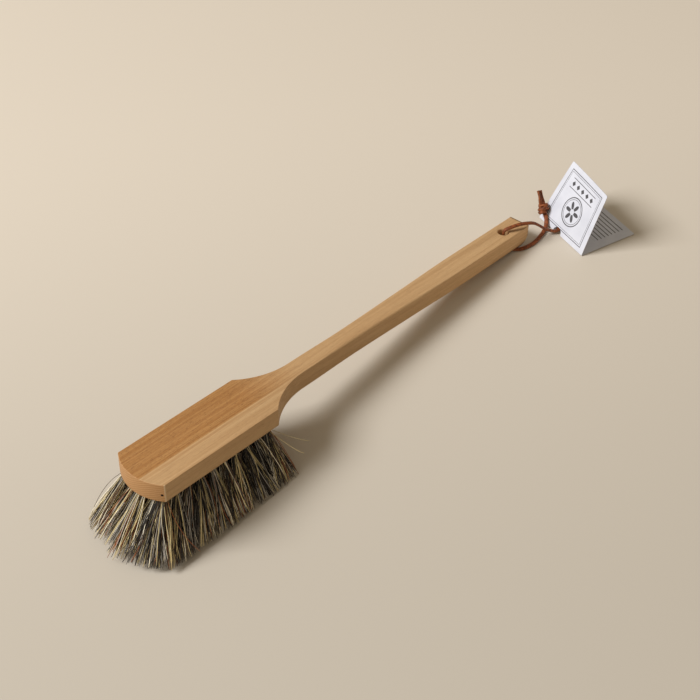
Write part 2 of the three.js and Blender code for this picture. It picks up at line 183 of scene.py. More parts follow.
camera_data = bpy.data.cameras.new("camera")
camera_data.lens = LENS_MM
camera_data.sensor_width = SENSOR_MM
camera = new_object("camera", camera_data)
level = (CAMERA_AIM - CAMERA_AT).to_track_quat("-Z", "Y").to_matrix().to_4x4()
camera.matrix_world = Matrix.Translation(CAMERA_AT) @ level @ Matrix.Rotation(CAMERA_ROLL, 4, "Z")
bpy.context.scene.camera = camera
print("camera to aim", round((CAMERA_AIM - CAMERA_AT).length, 3))

# %% [markdown]
# ## Shader maths as Python
# A procedural finish is mostly arithmetic on values that change over the surface. This small class
# wraps one output socket, so `1 - mask` adds a Math node by itself. Any other node comes from `node`,
# which takes its type, its settings and its inputs.

# %% Socket arithmetic


class Value:
    """One output socket of a material's node tree, with arithmetic."""

    def __init__(self, tree, socket):
        self.tree = tree
        self.socket = socket

    def node(self, kind, settings=None, inputs=None, out=0):
        made = self.tree.nodes.new("ShaderNode" + kind)
        for name, setting in (settings or {}).items():
            setattr(made, name, setting)
        for key, given in (inputs or {}).items():
            if isinstance(given, Value):
                self.tree.links.new(given.socket, made.inputs[key])
            else:
                made.inputs[key].default_value = given
        return Value(self.tree, made.outputs[out])

    def math(self, operation, *others):
        inputs = dict(enumerate((self, *others)))
        return self.node("Math", {"operation": operation}, inputs)

    def __add__(self, other):
        return self.math("ADD", other)

    __radd__ = __add__

    def __sub__(self, other):
        return self.math("SUBTRACT", other)

    def __rsub__(self, other):
        return self.node("Math", {"operation": "SUBTRACT"}, {0: other, 1: self})

    def __mul__(self, other):
        return self.math("MULTIPLY", other)

    __rmul__ = __mul__

    def __abs__(self):
        return self.math("ABSOLUTE")

    def smooth(self, low, high):
        """0 below low, 1 above high and a soft step between them."""
        inputs = {"Value": self, "From Min": low, "From Max": high}
        return self.node("MapRange", {"interpolation_type": "SMOOTHSTEP"}, inputs)

    def mix(self, first, second):
        """A colour that goes from first to second as this value goes from 0 to 1."""
        settings = {"data_type": "RGBA", "clamp_factor": True}
        return self.node("Mix", settings, {0: self, 6: first, 7: second}, out=2)

    def tint(self, colour):
        """A colour made lighter or darker by this value."""
        settings = {"data_type": "RGBA", "blend_type": "MULTIPLY", "clamp_factor": True}
        grey = self.node("CombineColor", None, {0: self, 1: self, 2: self})
        return self.node("Mix", settings, {0: 1.0, 6: colour, 7: grey}, out=2)

    def parts(self):
        """The three numbers of a vector."""
        split = self.node("SeparateXYZ", None, {0: self}).socket.node
        return [Value(self.tree, socket) for socket in split.outputs]

    def kept(self, name, out="Vector"):
        """What each point or face of the mesh keeps under this name."""
        return self.node("Attribute", {"attribute_name": name}, out=out)

    def scaled(self, *factors):
        """A vector with each number multiplied by its own factor."""
        return self.node("VectorMath", {"operation": "MULTIPLY"}, {0: self, 1: factors})

    def noise(self, detail=2.0, roughness=0.5):
        inputs = {"Vector": self, "Scale": 1.0, "Detail": detail, "Roughness": roughness}
        return self.node("TexNoise", None, inputs)


print("socket arithmetic ready")

# %% Finishes


def new_finish(name, **constants):
    """A material with one Principled shader, its fixed values set, and its object coordinates."""
    material = bpy.data.materials.new(name)
    material.use_nodes = True
    tree = material.node_tree
    shader = tree.nodes["Principled BSDF"]
    for socket, value in constants.items():
        shader.inputs[socket.replace("_", " ")].default_value = value
    coordinates = tree.nodes.new("ShaderNodeTexCoord")
    return material, shader, Value(tree, coordinates.outputs["Object"])


def connect(value, shader, socket):
    value.tree.links.new(value.socket, shader.inputs[socket])


def connect_bump(height, shader, strength, distance):
    inputs = {"Strength": strength, "Distance": distance, "Height": height}
    connect(height.node("Bump", None, inputs), shader, "Normal")


def rgb(red, green, blue):
    return (red, green, blue, 1.0)


print("finishes ready")

# %% [markdown]
# ## The lace's route
# A cord is a fixed length of something flexible, so its line comes first and its skin second. The
# lace hangs on the handle by a hole: one strand leaves the top of the hole, one its underside, and
# both meet in a knot that leans on the tag. These are the route points of the CAD model, and the line
# through them is a centripetal Catmull-Rom curve, which passes each point without overshooting. Its
# tightest bends are then eased, because leather doesn't kink.

# %% Lace route
HOLE_TO_END = 0.0234
HOLE_AT = END_AT - HOLE_TO_END
LACE = 0.0026
LACE_GAP = 0.0003
LACE_LIFT = 0.0002
LACE_LOW = LACE / 2 + LACE_LIFT
EASE_ROUNDS = 6
KNOT_RADIUS = 0.0048
TAG_SPINE = 0.0659
TAG_CARD = 0.0005
TAG_LIFT = 0.0003
TAG_TURN = math.radians(70.8)
TAG_NOTCH_AT = 0.0385
FOLD_LOW = TAG_LIFT + TAG_CARD + LACE_GAP + LACE / 2
SPINE_FOOT = Vector((END_X + 0.0111, MIDDLE_Y - 0.06, TAG_LIFT + TAG_CARD / 2))
SPINE_WAY = Vector((math.cos(TAG_TURN), math.sin(TAG_TURN), 0.0))
LEAF_WAY = Vector((math.sin(TAG_TURN), -math.cos(TAG_TURN), 0.0))


def from_end(x, y, z):
    """A point measured from the top of the handle end, with z from the table."""
    return Vector((END_X + x, MIDDLE_Y + y, z))


def by_tag(along, out, z):
    """A point measured along the tag's fold and out from it, with z from the table."""
    point = SPINE_FOOT + SPINE_WAY * along + LEAF_WAY * out
    return Vector((point.x, point.y, z))


hole_up = (board_to_row.to_3x3() @ Vector((0, 0, 1))).normalized()
hole_middle = on_board(HOLE_AT, 0, -THICKNESS / 2)
knot_at = from_end(0.0326, -0.0018, 0.0121)


def towards_knot(point):
    """The place on the knot's surface that faces a point."""
    return knot_at + (point - knot_at).normalized() * (KNOT_RADIUS + LACE_GAP)


upper_near = by_tag(TAG_SPINE + 0.0048, 0.0028, 0.0098)
upper_route = [
    hole_middle + hole_up * (LACE_GAP / 2),
    hole_middle + hole_up * 0.005,
    on_board(HOLE_AT + 0.0003, -0.0004, 0.0012),
    on_board(HOLE_AT + 0.003, -0.0032, 0.0036),
    on_board(HOLE_AT + 0.0133, -0.0075, 0.0049),
    on_board(END_AT - 0.0022, -0.0117, 0.0043),
    on_board(END_AT + 0.0032, -0.0131, 0.0023),
    from_end(0.008, -0.0142, 0.015),
    from_end(0.0126, -0.0154, 0.0102),
    from_end(0.016, -0.0164, 0.0065),
    by_tag(TAG_NOTCH_AT + 0.0029, -0.0053, FOLD_LOW + 0.0014),
    by_tag(TAG_NOTCH_AT, 0, FOLD_LOW + 0.0004),
    by_tag(TAG_NOTCH_AT + 0.0025, 0.005, FOLD_LOW + 0.0003),
    by_tag(TAG_NOTCH_AT + 0.009, 0.0082, FOLD_LOW + 0.0003),
    by_tag(TAG_SPINE - 0.0085, 0.009, FOLD_LOW + 0.0003),
    by_tag(TAG_SPINE - 0.0005, 0.009, FOLD_LOW + 0.0004),
    by_tag(TAG_SPINE + 0.0037, 0.0079, FOLD_LOW + 0.0016),
    by_tag(TAG_SPINE + 0.0059, 0.0054, FOLD_LOW + 0.0045),
    upper_near,
    towards_knot(upper_near),
]


def underside(x, y, z):
    """A point under the board at x, y of the board frame, with z from the table."""
    return Vector((on_board(x, 0, -THICKNESS).x, MIDDLE_Y + y, z))


lower_near = from_end(0.0292, -0.008, 0.0058)
lower_route = [
    hole_middle - hole_up * (LACE_GAP / 2),
    hole_middle - hole_up * 0.0036,
    on_board(HOLE_AT + 0.0005, -0.0005, -THICKNESS + 0.002),
    on_board(HOLE_AT + 0.0021, -0.0025, -THICKNESS - 0.0005),
    underside(HOLE_AT + 0.0046, -0.0062, LACE_LOW + 0.0001),
    underside(HOLE_AT + 0.0072, -0.01, LACE_LOW),
    from_end(-0.0156, -0.0129, LACE_LOW),
    from_end(-0.009, -0.0155, LACE_LOW),
    from_end(-0.0015, -0.017, LACE_LOW),
    from_end(0.0082, -0.0161, LACE_LOW),
    from_end(0.0171, -0.0141, LACE_LOW),
    from_end(0.023, -0.0121, LACE_LOW + 0.0004),
    from_end(0.0265, -0.01, LACE_LOW + 0.002),
    lower_near,
    towards_knot(lower_near),
]
print("route points", len(upper_route), len(lower_route))

# %% Lace lines
BLENDS = (((0, 1), (1, 2), (2, 3)), ((0, 2), (1, 3)), ((1, 2),))


def smooth_line(points, per_span=6):
    """Points along a centripetal Catmull-Rom curve through the given points."""
    given = np.array([tuple(point) for point in points])
    padded = np.vstack([2 * given[0] - given[1], given, 2 * given[-1] - given[-2]])
    line = []
    for i in range(len(given) - 1):
        four = padded[i : i + 4]
        steps = np.linalg.norm(np.diff(four, axis=0), axis=1) ** 0.5
        knots = np.concatenate([[0], np.cumsum(steps)])
        for t in np.linspace(knots[1], knots[2], per_span, endpoint=False):
            row = list(four)
            for level in BLENDS:
                row = [a + (b - a) * (t - knots[start]) / (knots[end] - knots[start])
                       for a, b, (start, end) in zip(row, row[1:], level)]
            line.append(row[0])
    return np.vstack([line, given[-1]])


def length_of(line):
    return float(np.linalg.norm(np.diff(line, axis=0), axis=1).sum())


def eased(line):
    """The line with its tight bends opened a little, and its ends kept."""
    line = line.copy()
    for _ in range(EASE_ROUNDS):
        line[1:-1] += ((line[:-2] + line[2:]) / 2 - line[1:-1]) / 2
    return line


upper_line = eased(smooth_line(upper_route))
lower_line = eased(smooth_line(lower_route))
print("upper strand", round(length_of(upper_line), 4), "lower strand", round(length_of(lower_line), 4))

# %% [markdown]
# ## Skin for the lace
# The lace is a strip cut from a hide, a little wider than thick, with soft corners. A round tube
# would look like cable. So a small rounded oblong is swept along the line, turned along with it so
# that it never spins by itself. Each point keeps how far along and how far round it lies, because
# the leather's fibres follow the strip.

# %% Sweep a strip along a line
LACE_WIDE = 0.0038
LACE_THICK = 0.0023
STRIP_POINTS = 14
STRIP_SQUARENESS = 0.7
UPPER_SIDE = (0.72, 0.69, 0)
UPPER_TWIST = 0.3
LOWER_SIDE = (0.825, 0.565, 0)
STRIP_ANGLE = 50


def strip_profile(wide, thick):
    """A rounded oblong: an ellipse pushed out towards its corners."""
    profile = []
    for i in range(STRIP_POINTS):
        angle = 2 * math.pi * (i + 0.5) / STRIP_POINTS
        across = math.copysign(abs(math.cos(angle)) ** STRIP_SQUARENESS, math.cos(angle))
        up = math.copysign(abs(math.sin(angle)) ** STRIP_SQUARENESS, math.sin(angle))
        profile.append((across * wide / 2, up * thick / 2))
    return profile


def sections_along(line, side, twist):
    """The middle, side and upward directions of a strip at each point of its line."""
    ways = unit(np.gradient(line, axis=0))
    side = np.array(side, float)
    sections = []
    for i, (middle, way) in enumerate(zip(line, ways)):
        side = unit(side - way * side.dot(way))
        up = np.cross(way, side)
        angle = twist * i / (len(line) - 1)
        turned = side * math.cos(angle) + up * math.sin(angle)
        sections.append((middle, turned, np.cross(way, turned)))
    return sections


def sweep_strip(name, line, profile, side=(1, 0, 0), twist=0.0, ends=(1.0, 1.0)):
    """A closed strip along a line, with its along and round places kept on its points."""
    count = len(profile)
    points, places = [], []
    run = np.concatenate([[0], np.cumsum(np.linalg.norm(np.diff(line, axis=0), axis=1))])
    swell = np.interp(run / run[-1], (0, 1), ends)
    for (middle, across, up), along, size in zip(sections_along(line, side, twist), run, swell):
        for i, (a, b) in enumerate(profile):
            points.append(middle + size * (across * a + up * b))
            places.append((along, i / count, size))
    faces = []
    for ring in range(len(line) - 1):
        for i in range(count):
            a = ring * count + i
            b = ring * count + (i + 1) % count
            faces.append((a, b, b + count, a + count))
    last = (len(line) - 1) * count
    faces.append(tuple(reversed(range(count))))
    faces.append(tuple(range(last, last + count)))
    return mesh_object(name, [tuple(point) for point in points], faces, "strip", places)


strip = strip_profile(LACE_WIDE, LACE_THICK)
upper_strand = sweep_strip("thong_upper", upper_line, strip, side=UPPER_SIDE, twist=UPPER_TWIST)
lower_strand = sweep_strip("thong_lower", lower_line, strip, side=LOWER_SIDE)
for strand in (upper_strand, lower_strand):
    smooth_by_angle(strand, STRIP_ANGLE)
print("strand faces", len(upper_strand.data.polygons), len(lower_strand.data.polygons))

# %% [markdown]
# ## The knot
# The knot is a double overhand: both strands run through its middle, and one of them is wound round
# the pair before it is pulled tight. It is built the same way, from strips: two short leads into
# the middle, a winding of nearly two and a half turns, one slanting turn over it, and two cut tails.

# %% Knot
TAIL_LENGTH = 0.017
TAIL_BEND = 0.0006
TAIL_WAYS = (Vector((0.28, 0.58, 0.77)), Vector((0.47, 0.60, 0.64)))
WIND_RADIUS = 0.0037
WIND_CLIMB = 0.0030
WIND_TURNS = 2.4
WIND_TILT = 0.12
WIND_FROM = 0.4
OVER_TURNS = 1.15
OVER_RADIUS = 0.0041
OVER_TILT = math.radians(38)
OVER_FROM = 2.2
STEPS_PER_TURN = 18
START_OUT = 0.35
COMES_OUT = 4.5
KNOT_WIDE = LACE_WIDE * 0.85
LEAD_OVERLAP = 0.6
LEADS_APART = 0.0022
TAILS_APART = 0.0016
TAIL_TWISTS = (1.1, -0.5)

knot_way = (TAIL_WAYS[0].normalized() + TAIL_WAYS[1].normalized()).normalized()
knot_side = knot_way.cross(Vector((0, 0, 1))).normalized()
knot_front = knot_side.cross(knot_way).normalized()


def in_knot(across, front, along):
    return knot_at + knot_side * across + knot_front * front + knot_way * along


def winding(turns, radius, climb, tilt, start):
    """A turn or more round the knot's middle that comes out of it and goes back in."""
    steps = int(turns * STEPS_PER_TURN)
    line = []
    for i in range(steps + 1):
        share = i / steps
        angle = start + 2 * math.pi * turns * share
        out = radius * min(1.0, START_OUT + COMES_OUT * min(share, 1 - share))
        across = out * math.cos(angle)
        front = out * math.sin(angle)
        along = climb * turns * (share - 0.5) + across * math.tan(tilt)
        line.append(in_knot(across, front, along))
    return smooth_line(line[::2], 4)


knot_strip = strip_profile(KNOT_WIDE, LACE_THICK)
knot_pieces = []
for number, end in enumerate((upper_line, lower_line)):
    before = Vector(end[-1] - LEAD_OVERLAP * (end[-1] - end[-3]))
    shift = (number - 0.5) * LEADS_APART
    lead = [before, Vector(end[-1]), in_knot(shift, 0.0004, -0.002), in_knot(shift, 0, 0.001)]
    knot_pieces.append(sweep_strip(f"lead_{number}", smooth_line(lead, 5), strip, side=knot_side))
for number, (way, twist) in enumerate(zip(TAIL_WAYS, TAIL_TWISTS)):
    out = way.normalized()
    shift = (number - 0.5) * TAILS_APART
    tail = [
        in_knot(shift, 0, 0.0005),
        knot_at + out * TAIL_LENGTH * 0.35 + knot_side * shift,
        knot_at + out * TAIL_LENGTH * 0.65 + Vector((0, 0, TAIL_BEND)),
        knot_at + out * TAIL_LENGTH,
    ]
    tail_line = smooth_line(tail, 6)
    knot_pieces.append(sweep_strip(f"tail_{number}", tail_line, strip, side=knot_side, twist=twist))
turns = winding(WIND_TURNS, WIND_RADIUS, WIND_CLIMB, WIND_TILT, WIND_FROM)
knot_pieces.append(sweep_strip("winding", turns, knot_strip, side=knot_way))
over = winding(OVER_TURNS, OVER_RADIUS, 0.0, OVER_TILT, OVER_FROM)
knot_pieces.append(sweep_strip("over_turn", over, knot_strip, side=knot_way))
knot = as_one(knot_pieces)
knot.name = "thong_knot_tied"
smooth_by_angle(knot, STRIP_ANGLE)
print("knot faces", len(knot.data.polygons))

# %% [markdown]
# ## Leather
# Vegetable-tanned leather is red-brown, and paler where it is worn and along its cut edges. A fine
# noise stretched along the strip gives its fibres, and a coarser one its uneven dye.

# %% Leather finish
DYED = (rgb(0.100, 0.024, 0.006), rgb(0.295, 0.078, 0.020))
WORN = rgb(0.36, 0.12, 0.041)
CUT_EDGE = rgb(0.345, 0.115, 0.039)

leather, shader, place = new_finish("leather", Specular_IOR_Level=0.35)
strip_place = place.kept("strip")
_, round_place, _ = strip_place.parts()
edge = abs(abs(round_place - 0.5) - 0.25).smooth(0.14, 0.24)
dye = place.scaled(420, 420, 420).noise(3.0)
grain = strip_place.scaled(900, 26, 1).noise(3.0, 0.6)
dyed = dye.smooth(0.3, 0.72).mix(*DYED)
worn = (grain.smooth(0.5, 0.8) * 0.5).mix(dyed, WORN)
connect((edge * 0.5).mix(worn, CUT_EDGE), shader, "Base Color")
connect(0.5 + grain * 0.22, shader, "Roughness")
connect_bump(grain * 0.6 + dye * 0.4, shader, 0.5, 0.0004)

for piece in (upper_strand, lower_strand, knot):
    paint(piece, leather)
    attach(piece, "brush")
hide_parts("thong_upper_strand")
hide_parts("thong_lower_strand")
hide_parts("thong_knot")
print("leather on", upper_strand.name, lower_strand.name, knot.name)

# %% [markdown]
# ## The wooden body
# Head and handle are one piece of beech: a board sawn to an outline, with the grip's edges rounded by
# a router that lifts out at both ends, and the other edges just broken with sandpaper. So the outline
# is drawn first, extruded to the board's thickness, and its edges are bevelled by weights: a weight of
# one is the router's full round, and a small weight is a sanded edge.

# %% Wood outline
HALF_HEAD = 0.0252
HEAD_LENGTH = 0.1125
FRONT_BOW = 0.0086
COVE_END = 0.156
NECK_HALF = 0.0082
SWELL_AT = 0.36
SWELL_HALF = 0.0106
END_HALF = 0.0105
END_CORNER = 0.0009
END_BOW = 0.0003
NECK_PULL = 0.46
SWELL_PULL = 0.48
GRIP_ROUND = 0.0024
GRIP_FROM = 0.04
GRIP_TO = 0.98
GRIP_FADE_IN = 0.22
GRIP_FADE_OUT = 0.3
EDGE_BREAK = 0.0005
END_BREAK = 0.0003
BOW_RADIUS = (HALF_HEAD**2 + FRONT_BOW**2) / (2 * FRONT_BOW)
BOW_STEPS = 14
COVE_STEPS = 20
GRIP_STEPS = 48
CORNER_STEPS = 7
END_STEPS = 4


def arc(centre, radius, start, end, steps):
    angles = np.linspace(start, end, steps + 1)
    return [(centre[0] + radius * math.cos(a), centre[1] + radius * math.sin(a)) for a in angles]


def bezier(points, shares):
    p = np.array(points)
    weights = [[math.comb(len(p) - 1, k) * s**k * (1 - s) ** (len(p) - 1 - k) for k in range(len(p))]
               for s in shares]
    return [tuple(row) for row in np.array(weights) @ p]


def grip_round(share):
    """The rounding of the grip's edge at a share of the handle's curve."""
    part = (share - GRIP_FROM) / (GRIP_TO - GRIP_FROM)
    fade = min(1.0, max(0.0, min(part / GRIP_FADE_IN, (1 - part) / GRIP_FADE_OUT)))
    return EDGE_BREAK + (GRIP_ROUND - EDGE_BREAK) * fade * fade * (3 - 2 * fade)


def half_outline():
    """Points down one side of the board, each with the rounding of its edges."""
    bow_angle = math.asin(HALF_HEAD / BOW_RADIUS)
    cove_rise = HALF_HEAD - NECK_HALF
    cove_run = COVE_END - HEAD_LENGTH
    cove_radius = (cove_run**2 + cove_rise**2) / (2 * cove_rise)
    cove_angle = math.asin(cove_run / cove_radius)
    front = arc((BOW_RADIUS - FRONT_BOW, 0), BOW_RADIUS, math.pi, math.pi - bow_angle, BOW_STEPS)
    cove = arc((COVE_END, NECK_HALF + cove_radius), cove_radius,
               -math.pi / 2 - cove_angle, -math.pi / 2, COVE_STEPS)
    run = SWELL_AT - COVE_END
    shares = np.linspace(0, 1, GRIP_STEPS + 1)
    grip = bezier([(COVE_END, NECK_HALF), (COVE_END + NECK_PULL * run, NECK_HALF),
                   (SWELL_AT - SWELL_PULL * run, SWELL_HALF), (SWELL_AT, SWELL_HALF)], shares)
    edge = END_AT - END_BOW
    corner = bezier([(edge - END_CORNER, END_HALF), (edge, END_HALF), (edge, END_HALF - END_CORNER)],
                    np.linspace(0, 1, CORNER_STEPS + 1))
    end = bezier([(edge, END_HALF - END_CORNER), (END_AT + END_BOW, 0), (edge, END_CORNER - END_HALF)],
                 np.linspace(0, 0.5, END_STEPS + 1))
    side = [(x, y, EDGE_BREAK) for x, y in front + cove[:-1]]
    side += [(x, y, grip_round(s)) for (x, y), s in zip(grip, shares)]
    side += [(x, y, END_BREAK) for x, y in corner + end[1:]]
    return side


left_side = half_outline()
right_side = [(x, -y, size) for x, y, size in reversed(left_side[1:-1])]
outline = left_side + right_side
print("outline points", len(outline))

# %% Saw, extrude and round the board
NEAR = 1e-5
ROUND_SEGMENTS = 5
BREAK_SEGMENTS = 2


def prism(name, points, depth):
    """A closed prism: a face through points of the xy plane, extruded along z by depth."""
    made = added(bpy.ops.mesh.primitive_circle_add, vertices=len(points), radius=1, fill_type="NGON")
    made.name = name
    for vertex, (x, y) in zip(made.data.vertices, points):
        vertex.co = (x, y, 0)
    bpy.ops.object.mode_set(mode="EDIT")
    bpy.ops.mesh.select_all(action="SELECT")
    bpy.ops.mesh.extrude_region_move(TRANSFORM_OT_translate={"value": (0, 0, depth)})
    bpy.ops.mesh.select_all(action="SELECT")
    bpy.ops.mesh.normals_make_consistent(inside=False)
    bpy.ops.object.mode_set(mode="OBJECT")
    return made


wood = prism("beech_body", [(x, y) for x, y, _ in outline], -THICKNESS)
places = np.array([(x, y) for x, y, _ in outline])
nearest = [int(np.argmin(np.hypot(*(places - (v.co.x, v.co.y)).T))) for v in wood.data.vertices]
sharp_corners = [i for i, (x, y) in enumerate(places)
                 if abs(abs(y) - HALF_HEAD) < NEAR and min(abs(x), abs(x - HEAD_LENGTH)) < NEAR]
weights = []
for edge in wood.data.edges:
    a, b = (wood.data.vertices[i].co for i in edge.vertices)
    numbers = [nearest[i] for i in edge.vertices]
    if abs(a.z - b.z) > THICKNESS / 2:
        size = EDGE_BREAK if numbers[0] in sharp_corners else 0.0
    else:
        size = sum(outline[i][2] for i in numbers) / 2
    weights.append(size / GRIP_ROUND)
wood.data.attributes.new("bevel_weight_edge", "FLOAT", "EDGE").data.foreach_set("value", weights)
apply_modifier(wood, "BEVEL", width=GRIP_ROUND, segments=ROUND_SEGMENTS, limit_method="WEIGHT",
               use_clamp_overlap=False)
print("board faces", len(wood.data.polygons))

# %% [markdown]
# ## Holes
# The handle has one hole for the lace, with a soft rim so that it doesn't cut the leather. The head
# has a blind hole for each tuft, in staggered rows. Holes are drilled with boolean cutters, as on a
# drill press, and the rim is then bevelled by selecting its edges by their place. The lower edge of the
# handle's end is cut to a quarter of an ellipse. Last, the end faces are marked, because their grain
# looks different, and the side faces are marked for the painted bounce light that lightens the handle's
# sides towards its end.

# %% Drill
HOLE_RADIUS = 0.0048
HOLE_EASE = 0.0016
ROWS = 5
COLUMNS = 19
FIRST_COLUMN = 0.003
COLUMN_PITCH = 0.0056
HALF_FIELD = 0.019
ROW_PITCH = 2 * HALF_FIELD / (ROWS - 1)
FIELD_REAR = FIRST_COLUMN + (COLUMNS - 1) * COLUMN_PITCH
DRILL_RADIUS = 0.0027
DRILL_DEPTH = 0.0093
PIN_HOLE_RADIUS = 0.0007
PIN_FROM_SIDE = 0.0019
PIN_HEIGHT = 0.0065
PIN_LENGTH = 0.01
TUFT_HOLE_SIDES = 14
HOLE_SIDES = 40
PIN_SIDES = 12
END_EASE_STEPS = 24
ON_ELLIPSE = 0.01
ON_SIDE = 0.0001
WOOD_ANGLE = 32

tufts = [(FIRST_COLUMN + column * COLUMN_PITCH, row * ROW_PITCH - HALF_FIELD)
         for column in range(COLUMNS) for row in range(column % 2, ROWS, 2)]


def cylinder(radius, depth, sides, place, turn=(0, 0, 0)):
    return added(bpy.ops.mesh.primitive_cylinder_add, vertices=sides, radius=radius, depth=depth,
                 location=place, rotation=turn)


def cut(piece, cutters):
    cutter = as_one(cutters)
    apply_modifier(piece, "BOOLEAN", object=cutter, operation="DIFFERENCE", solver="EXACT")
    bpy.data.objects.remove(cutter)


end_middle = (END_AT - END_EASE, END_EASE_RISE - THICKNESS)
end_profile = [(end_middle[0] + END_EASE * math.cos(a), end_middle[1] + END_EASE_RISE * math.sin(a))
               for a in np.linspace(-math.pi / 2, 0, END_EASE_STEPS + 1)]
past = END_AT + END_EASE
end_profile += [(past, end_middle[1]), (past, -2 * THICKNESS), (end_middle[0], -2 * THICKNESS)]
end_cutter = prism("end_cutter", end_profile, 4 * END_HALF)
end_cutter.matrix_world = Matrix.Translation((0, 2 * END_HALF, 0)) @ Matrix.Rotation(math.pi / 2, 4, "X")
cut(wood, [end_cutter])
cut(wood, [cylinder(DRILL_RADIUS, 2 * DRILL_DEPTH, TUFT_HOLE_SIDES, (x, y, -THICKNESS)) for x, y in tufts])
cut(wood, [cylinder(HOLE_RADIUS, 2 * THICKNESS, HOLE_SIDES, (HOLE_AT, 0, -THICKNESS / 2))])
pin_y = PIN_FROM_SIDE - HALF_HEAD
pin_x = BOW_RADIUS - FRONT_BOW - math.sqrt(BOW_RADIUS**2 - pin_y**2)
pin_at = (pin_x, pin_y, PIN_HEIGHT - THICKNESS)
cut(wood, [cylinder(PIN_HOLE_RADIUS, PIN_LENGTH, PIN_SIDES, pin_at, (0, math.pi / 2, 0))])
print("drilled", len(tufts), "tuft holes")

# %% Ease the rims, mark the end grain and the sides for painted bounce light


def on_rim(place):
    """Whether a point lies on one of the two rims of the hanging hole."""
    flat = min(abs(place.z), abs(place.z + THICKNESS)) < NEAR
    return flat and abs(math.hypot(place.x - HOLE_AT, place.y) - HOLE_RADIUS) < NEAR


def on_end_side(place):
    """Whether a point lies where the rounded end meets a side of the handle."""
    x_share = (place.x - end_middle[0]) / END_EASE
    z_share = (place.z - end_middle[1]) / END_EASE_RISE
    rounded = abs(math.hypot(x_share, z_share) - 1) < ON_ELLIPSE and x_share > 0 and z_share < 0
    return rounded and abs(place.y) > END_HALF - ON_SIDE


def bevel_where(piece, chosen, size, segments, affect="EDGES"):
    """Bevels the edges, or else the single points, that lie wholly where chosen says."""
    only(piece)
    bpy.ops.object.mode_set(mode="EDIT")
    bpy.ops.mesh.select_mode(type="EDGE" if affect == "EDGES" else "VERT")
    bpy.ops.mesh.select_all(action="DESELECT")
    shape = bmesh.from_edit_mesh(piece.data)
    if affect == "EDGES":
        for edge in shape.edges:
            edge.select_set(all(chosen(v.co) for v in edge.verts))
    else:
        for vertex in shape.verts:
            vertex.select_set(chosen(vertex.co))
    bmesh.update_edit_mesh(piece.data)
    bpy.ops.mesh.bevel(offset=size, segments=segments, affect=affect, clamp_overlap=False)
    bpy.ops.object.mode_set(mode="OBJECT")


bevel_where(wood, on_rim, HOLE_EASE, ROUND_SEGMENTS)
bevel_where(wood, on_end_side, EDGE_BREAK, BREAK_SEGMENTS)
end_grain = [float(face.normal.x < -0.5 and face.center.x < FIRST_COLUMN) for face in wood.data.polygons]
# The side faces are marked only for painted bounce light, which lightens them towards the handle's end.
painted_bounce_faces = [float(abs(face.normal.y) > 0.7) for face in wood.data.polygons]
for name, values in (("end_grain", end_grain), ("painted_bounce_faces", painted_bounce_faces)):
    wood.data.attributes.new(name, "FLOAT", "FACE").data.foreach_set("value", values)
move(wood, board_to_row)
smooth_by_angle(wood, WOOD_ANGLE)
print("wood faces", len(wood.data.polygons))

# %% [markdown]
# ## Beech
# Wood is a solid pattern, so its finish reads places inside the board and not a flat picture: the same
# streaks that run along the top show as dots and arcs on the end. Everything is stretched along the
# grain. This board has a band of darker, redder wood over the left of the head, which ends in a pale and
# a dark line, and a paler handle. Short dark flecks lie all over it. Sawn end grain shows rings instead
# of streaks. Light and shade are painted in three places: a painted highlight down the head's front right
# vertical corner, painted bounce light that lightens the handle's sides towards its end, and painted
# shade that makes the pin hole black inside.

# %% Beech grain
TO_MM = 1000.0
# Where the painted highlight runs down the head's front right vertical corner, in millimetres.
HIGHLIGHT_CORNER_MM = (0.2, 0.2 - HALF_HEAD * TO_MM)
# The pin hole's axis and how far into the head its painted shade reaches, in millimetres.
PIN_MM = (pin_y * TO_MM, (PIN_HEIGHT - THICKNESS) * TO_MM)
PIN_ENDS_MM = (8, 9)
DRIFT_MM = 2.5
LINE_MM = 7.7
LINE_WANDER_MM = 0.8
DARK_LINE_MM = 2
HEART_ENDS_MM = (96, 168)
LINES_END_MM = (105, 150)
# Where the painted bounce light on the handle's sides begins and where it is full, in millimetres.
PAINTED_BOUNCE_MM = (200, 430)


def distance(first, second):
    """How far a point lies from zero, from its two offsets."""
    return (first * first + second * second).math("SQRT")


beech, shader, place = new_finish("beech", Specular_IOR_Level=0.3)
row_to_board = board_to_row.inverted()
settings = {"vector_type": "POINT"}
inputs = {"Vector": place, "Location": row_to_board.to_translation()}
inputs["Rotation"] = row_to_board.to_euler()
board_place = place.node("Mapping", settings, inputs).scaled(TO_MM, TO_MM, TO_MM)
wander = board_place.scaled(0.011, 0.05, 0.05).noise(2.0)
x_mm, y_mm, z_mm = board_place.parts()
drift = (wander - 0.5) * DRIFT_MM
bent = board_place.node("CombineXYZ", None, {0: x_mm, 1: y_mm + drift, 2: z_mm + drift * 0.6})
bands = bent.scaled(0.0035, 0.3, 0.3).noise(3.0, 0.55)
streaks = bent.scaled(0.012, 1.5, 1.5).noise(3.0, 0.6)
fine = bent.scaled(0.09, 1.7, 1.7).noise(3.0, 0.65)
flecks = bent.scaled(0.3, 3.0, 3.0).noise(1.0).smooth(0.55, 0.70)
rings = ((y_mm * 0.55 + z_mm * 1.3 + drift * 2) * 2.4).math("SINE")
line_offset = y_mm + LINE_MM + (wander - 0.5) * LINE_WANDER_MM
heart = line_offset.smooth(-0.4, 1.6) * (1 - x_mm.smooth(*HEART_ENDS_MM))
with_lines = 1 - x_mm.smooth(*LINES_END_MM)
pale_line = (1 - abs(line_offset).smooth(0.15, 0.7)) * with_lines
dark_line = (1 - abs(line_offset + DARK_LINE_MM).smooth(0.2, 1.1)) * with_lines
end_face = place.kept("end_grain", "Fac")
bounce_lit_side = place.kept("painted_bounce_faces", "Fac")
